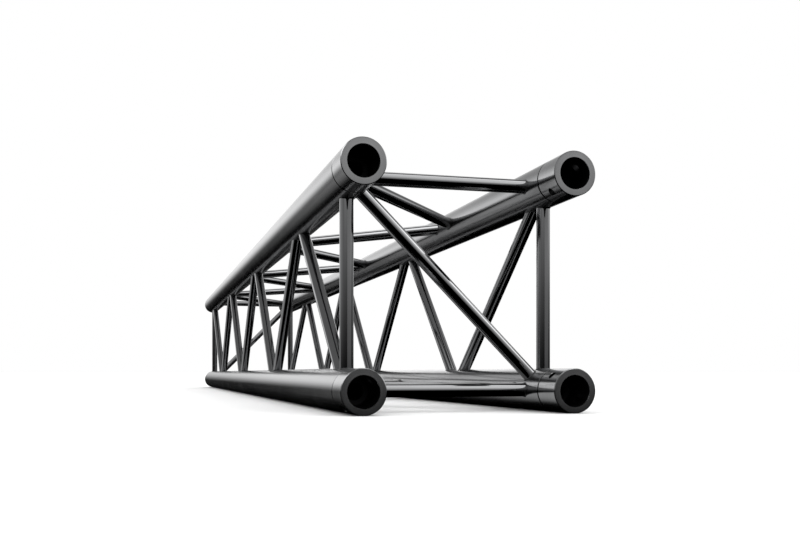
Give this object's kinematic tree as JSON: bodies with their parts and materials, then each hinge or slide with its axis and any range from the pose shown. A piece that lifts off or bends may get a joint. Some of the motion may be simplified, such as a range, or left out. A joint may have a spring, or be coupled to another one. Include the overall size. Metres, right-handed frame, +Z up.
{
  "type": "lighting truss section",
  "caption": "Square box truss section of round chord tubes with zigzag bracing on every face, end frames and open conical coupler sockets",
  "frame": {"origin": "on the ground below the middle of the section, at the centre of its box", "axes": "+Y along the chords towards the back end, +X to the right seen from the front end, +Z up"},
  "size_m": [0.29, 2, 0.29],
  "materials": {
    "chord_tube": "extruded tube, smooth and glossy, fine lengthwise streaks",
    "receiver": "turned, glossy, fine rings round the axis",
    "brace_tube": "drawn tube, glossy, fine lengthwise streaks",
    "weld": "dark, fine rippled fillet bead"
  },
  "bodies": {
    "root": {"brace_bottom_1": "brace_tube", "brace_bottom_2": "brace_tube", "brace_bottom_3": "brace_tube", "brace_bottom_4": "brace_tube", "brace_bottom_5": "brace_tube", "brace_bottom_6": "brace_tube", "brace_bottom_7": "brace_tube", "brace_left_1": "brace_tube", "brace_left_2": "brace_tube", "brace_left_3": "brace_tube", "brace_left_4": "brace_tube", "brace_left_5": "brace_tube", "brace_left_6": "brace_tube", "brace_left_7": "brace_tube", "brace_right_1": "brace_tube", "brace_right_2": "brace_tube", "brace_right_3": "brace_tube", "brace_right_4": "brace_tube", "brace_right_5": "brace_tube", "brace_right_6": "brace_tube", "brace_right_7": "brace_tube", "brace_top_1": "brace_tube", "brace_top_2": "brace_tube", "brace_top_3": "brace_tube", "brace_top_4": "brace_tube", "brace_top_5": "brace_tube", "brace_top_6": "brace_tube", "brace_top_7": "brace_tube", "chord_bottom_left": "chord_tube", "chord_bottom_right": "chord_tube", "chord_top_left": "chord_tube", "chord_top_right": "chord_tube", "cross_brace_back": "brace_tube", "cross_brace_front": "brace_tube", "post_left_back": "brace_tube", "post_left_front": "brace_tube", "post_right_back": "brace_tube", "post_right_front": "brace_tube", "receiver_bottom_left_back": "receiver", "receiver_bottom_left_front": "receiver", "receiver_bottom_right_back": "receiver", "receiver_bottom_right_front": "receiver", "receiver_top_left_back": "receiver", "receiver_top_left_front": "receiver", "receiver_top_right_back": "receiver", "receiver_top_right_front": "receiver", "tie_bottom_back": "brace_tube", "tie_bottom_front": "brace_tube", "tie_top_back": "brace_tube", "tie_top_front": "brace_tube"}
  },
  "joints": []
}
